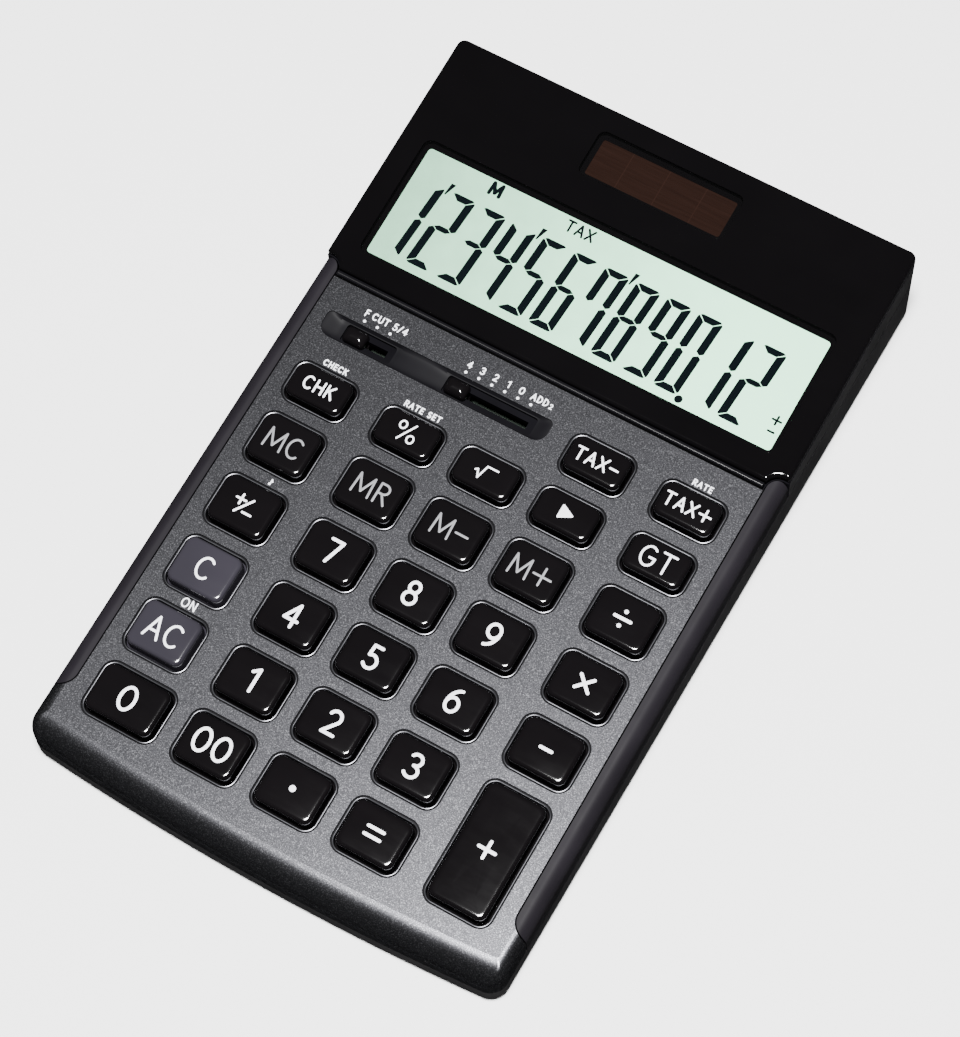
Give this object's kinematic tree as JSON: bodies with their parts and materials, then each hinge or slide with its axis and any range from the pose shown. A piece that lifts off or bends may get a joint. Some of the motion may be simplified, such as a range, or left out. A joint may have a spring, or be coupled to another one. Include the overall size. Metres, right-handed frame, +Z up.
{
  "type": "desk calculator",
  "caption": "Wedge-shaped desk calculator with a tilted display head, sprung keys, slide switches and a screwed battery cover.",
  "frame": {"origin": "middle of the calculator's footprint, on the table under the rubber feet", "axes": "+X to the user's right, +Y away from the user towards the display, +Z up"},
  "size_m": [0.109, 0.177, 0.0252],
  "materials": {
    "deck_paint": "metallic grey paint with a fine sparkle",
    "plum_plastic": "fine-grained dark plum grey",
    "case_plastic": "fine-grained dark plum grey",
    "frame_plastic": "satin black",
    "window_plastic": "polished black with clear windows",
    "black_key": "glossy black with printed white signs",
    "slate_key": "glossy slate grey with printed white signs",
    "switch_knob": "glossy black",
    "display_glass": "pale green liquid crystal display",
    "holder_plastic": "moulded white",
    "solar_glass": "dark brown solar cell",
    "ribbon_film": "amber film",
    "board_laminate": "green solder mask",
    "keypad_rubber": "grey silicone rubber",
    "foot_rubber": "black rubber",
    "sounder_brass": "plain",
    "cell_steel": "nickel plated",
    "contact_steel": "spring steel",
    "screw_steel": "dark plated"
  },
  "bodies": {
    "case": {"battery_cell": "cell_steel", "battery_contact_negative": "contact_steel", "battery_contact_positive": "contact_steel", "beeper_disc": "sounder_brass", "case_screw_front_left": "screw_steel", "case_screw_front_right": "screw_steel", "case_screw_rear_left": "screw_steel", "case_screw_rear_right": "screw_steel", "circuit_board": "board_laminate", "display_window": "window_plastic", "face_plate": "deck_paint", "lcd_frame": "holder_plastic", "lcd_panel": "display_glass", "lcd_ribbon": "ribbon_film", "lower_case": "case_plastic", "rubber_foot_front_left": "foot_rubber", "rubber_foot_front_right": "foot_rubber", "rubber_foot_rear_left": "foot_rubber", "rubber_foot_rear_right": "foot_rubber", "rubber_keypad": "keypad_rubber", "side_trim_left": "plum_plastic", "side_trim_right": "plum_plastic", "solar_panel": "solar_glass", "upper_case": "frame_plastic"},
    "decimal_switch_knob_body": {"decimal_switch_knob": "switch_knob"},
    "key_0_body": {"key_0": "black_key"},
    "key_1_body": {"key_1": "black_key"},
    "key_2_body": {"key_2": "black_key"},
    "key_3_body": {"key_3": "black_key"},
    "key_4_body": {"key_4": "black_key"},
    "key_5_body": {"key_5": "black_key"},
    "key_6_body": {"key_6": "black_key"},
    "key_7_body": {"key_7": "black_key"},
    "key_8_body": {"key_8": "black_key"},
    "key_9_body": {"key_9": "black_key"},
    "key_all_clear_body": {"key_all_clear": "slate_key"},
    "key_check_body": {"key_check": "black_key"},
    "key_clear_entry_body": {"key_clear_entry": "slate_key"},
    "key_decimal_point_body": {"key_decimal_point": "black_key"},
    "key_divide_body": {"key_divide": "black_key"},
    "key_double_zero_body": {"key_double_zero": "black_key"},
    "key_equals_body": {"key_equals": "black_key"},
    "key_grand_total_body": {"key_grand_total": "black_key"},
    "key_memory_clear_body": {"key_memory_clear": "black_key"},
    "key_memory_minus_body": {"key_memory_minus": "black_key"},
    "key_memory_plus_body": {"key_memory_plus": "black_key"},
    "key_memory_recall_body": {"key_memory_recall": "black_key"},
    "key_minus_body": {"key_minus": "black_key"},
    "key_multiply_body": {"key_multiply": "black_key"},
    "key_percent_body": {"key_percent": "black_key"},
    "key_plus_body": {"key_plus": "black_key"},
    "key_shift_right_body": {"key_shift_right": "black_key"},
    "key_sign_change_body": {"key_sign_change": "black_key"},
    "key_square_root_body": {"key_square_root": "black_key"},
    "key_tax_minus_body": {"key_tax_minus": "black_key"},
    "key_tax_plus_body": {"key_tax_plus": "black_key"},
    "rounding_switch_knob_body": {"rounding_switch_knob": "switch_knob"},
    "battery_cover_body": {"battery_cover": "case_plastic", "battery_cover_screw": "screw_steel"}
  },
  "joints": [
    {"name": "press_0", "type": "slide", "parent": "case", "child": "key_0_body", "axis": [0, 0.0523, -0.9986], "range_m": [0, 0.002], "stiffness_N_per_m": 400},
    {"name": "press_1", "type": "slide", "parent": "case", "child": "key_1_body", "axis": [0, 0.0523, -0.9986], "range_m": [0, 0.002], "stiffness_N_per_m": 400},
    {"name": "press_2", "type": "slide", "parent": "case", "child": "key_2_body", "axis": [0, 0.0523, -0.9986], "range_m": [0, 0.002], "stiffness_N_per_m": 400},
    {"name": "press_3", "type": "slide", "parent": "case", "child": "key_3_body", "axis": [0, 0.0523, -0.9986], "range_m": [0, 0.002], "stiffness_N_per_m": 400},
    {"name": "press_4", "type": "slide", "parent": "case", "child": "key_4_body", "axis": [0, 0.0523, -0.9986], "range_m": [0, 0.002], "stiffness_N_per_m": 400},
    {"name": "press_5", "type": "slide", "parent": "case", "child": "key_5_body", "axis": [0, 0.0523, -0.9986], "range_m": [0, 0.002], "stiffness_N_per_m": 400},
    {"name": "press_6", "type": "slide", "parent": "case", "child": "key_6_body", "axis": [0, 0.0523, -0.9986], "range_m": [0, 0.002], "stiffness_N_per_m": 400},
    {"name": "press_7", "type": "slide", "parent": "case", "child": "key_7_body", "axis": [0, 0.0523, -0.9986], "range_m": [0, 0.002], "stiffness_N_per_m": 400},
    {"name": "press_8", "type": "slide", "parent": "case", "child": "key_8_body", "axis": [0, 0.0523, -0.9986], "range_m": [0, 0.002], "stiffness_N_per_m": 400},
    {"name": "press_9", "type": "slide", "parent": "case", "child": "key_9_body", "axis": [0, 0.0523, -0.9986], "range_m": [0, 0.002], "stiffness_N_per_m": 400},
    {"name": "press_all_clear", "type": "slide", "parent": "case", "child": "key_all_clear_body", "axis": [0, 0.0523, -0.9986], "range_m": [0, 0.002], "stiffness_N_per_m": 400},
    {"name": "press_check", "type": "slide", "parent": "case", "child": "key_check_body", "axis": [0, 0.0523, -0.9986], "range_m": [0, 0.002], "stiffness_N_per_m": 400},
    {"name": "press_clear_entry", "type": "slide", "parent": "case", "child": "key_clear_entry_body", "axis": [0, 0.0523, -0.9986], "range_m": [0, 0.002], "stiffness_N_per_m": 400},
    {"name": "press_decimal_point", "type": "slide", "parent": "case", "child": "key_decimal_point_body", "axis": [0, 0.0523, -0.9986], "range_m": [0, 0.002], "stiffness_N_per_m": 400},
    {"name": "press_divide", "type": "slide", "parent": "case", "child": "key_divide_body", "axis": [0, 0.0523, -0.9986], "range_m": [0, 0.002], "stiffness_N_per_m": 400},
    {"name": "press_double_zero", "type": "slide", "parent": "case", "child": "key_double_zero_body", "axis": [0, 0.0523, -0.9986], "range_m": [0, 0.002], "stiffness_N_per_m": 400},
    {"name": "press_equals", "type": "slide", "parent": "case", "child": "key_equals_body", "axis": [0, 0.0523, -0.9986], "range_m": [0, 0.002], "stiffness_N_per_m": 400},
    {"name": "press_grand_total", "type": "slide", "parent": "case", "child": "key_grand_total_body", "axis": [0, 0.0523, -0.9986], "range_m": [0, 0.002], "stiffness_N_per_m": 400},
    {"name": "press_memory_clear", "type": "slide", "parent": "case", "child": "key_memory_clear_body", "axis": [0, 0.0523, -0.9986], "range_m": [0, 0.002], "stiffness_N_per_m": 400},
    {"name": "press_memory_minus", "type": "slide", "parent": "case", "child": "key_memory_minus_body", "axis": [0, 0.0523, -0.9986], "range_m": [0, 0.002], "stiffness_N_per_m": 400},
    {"name": "press_memory_plus", "type": "slide", "parent": "case", "child": "key_memory_plus_body", "axis": [0, 0.0523, -0.9986], "range_m": [0, 0.002], "stiffness_N_per_m": 400},
    {"name": "press_memory_recall", "type": "slide", "parent": "case", "child": "key_memory_recall_body", "axis": [0, 0.0523, -0.9986], "range_m": [0, 0.002], "stiffness_N_per_m": 400},
    {"name": "press_minus", "type": "slide", "parent": "case", "child": "key_minus_body", "axis": [0, 0.0523, -0.9986], "range_m": [0, 0.002], "stiffness_N_per_m": 400},
    {"name": "press_multiply", "type": "slide", "parent": "case", "child": "key_multiply_body", "axis": [0, 0.0523, -0.9986], "range_m": [0, 0.002], "stiffness_N_per_m": 400},
    {"name": "press_percent", "type": "slide", "parent": "case", "child": "key_percent_body", "axis": [0, 0.0523, -0.9986], "range_m": [0, 0.002], "stiffness_N_per_m": 400},
    {"name": "press_plus", "type": "slide", "parent": "case", "child": "key_plus_body", "axis": [0, 0.0523, -0.9986], "range_m": [0, 0.002], "stiffness_N_per_m": 400},
    {"name": "press_shift_right", "type": "slide", "parent": "case", "child": "key_shift_right_body", "axis": [0, 0.0523, -0.9986], "range_m": [0, 0.002], "stiffness_N_per_m": 400},
    {"name": "press_sign_change", "type": "slide", "parent": "case", "child": "key_sign_change_body", "axis": [0, 0.0523, -0.9986], "range_m": [0, 0.002], "stiffness_N_per_m": 400},
    {"name": "press_square_root", "type": "slide", "parent": "case", "child": "key_square_root_body", "axis": [0, 0.0523, -0.9986], "range_m": [0, 0.002], "stiffness_N_per_m": 400},
    {"name": "press_tax_minus", "type": "slide", "parent": "case", "child": "key_tax_minus_body", "axis": [0, 0.0523, -0.9986], "range_m": [0, 0.002], "stiffness_N_per_m": 400},
    {"name": "press_tax_plus", "type": "slide", "parent": "case", "child": "key_tax_plus_body", "axis": [0, 0.0523, -0.9986], "range_m": [0, 0.002], "stiffness_N_per_m": 400},
    {"name": "slide_rounding_switch", "type": "slide", "parent": "case", "child": "rounding_switch_knob_body", "axis": [1, 0, 0], "range_m": [0, 0.0061]},
    {"name": "slide_decimal_switch", "type": "slide", "parent": "case", "child": "decimal_switch_knob_body", "axis": [1, 0, 0], "range_m": [0, 0.0153]},
    {"name": "lift_off_battery_cover", "type": "slide", "parent": "case", "child": "battery_cover_body", "axis": [0, 0, -1], "range_m": [0, 0.012]}
  ]
}
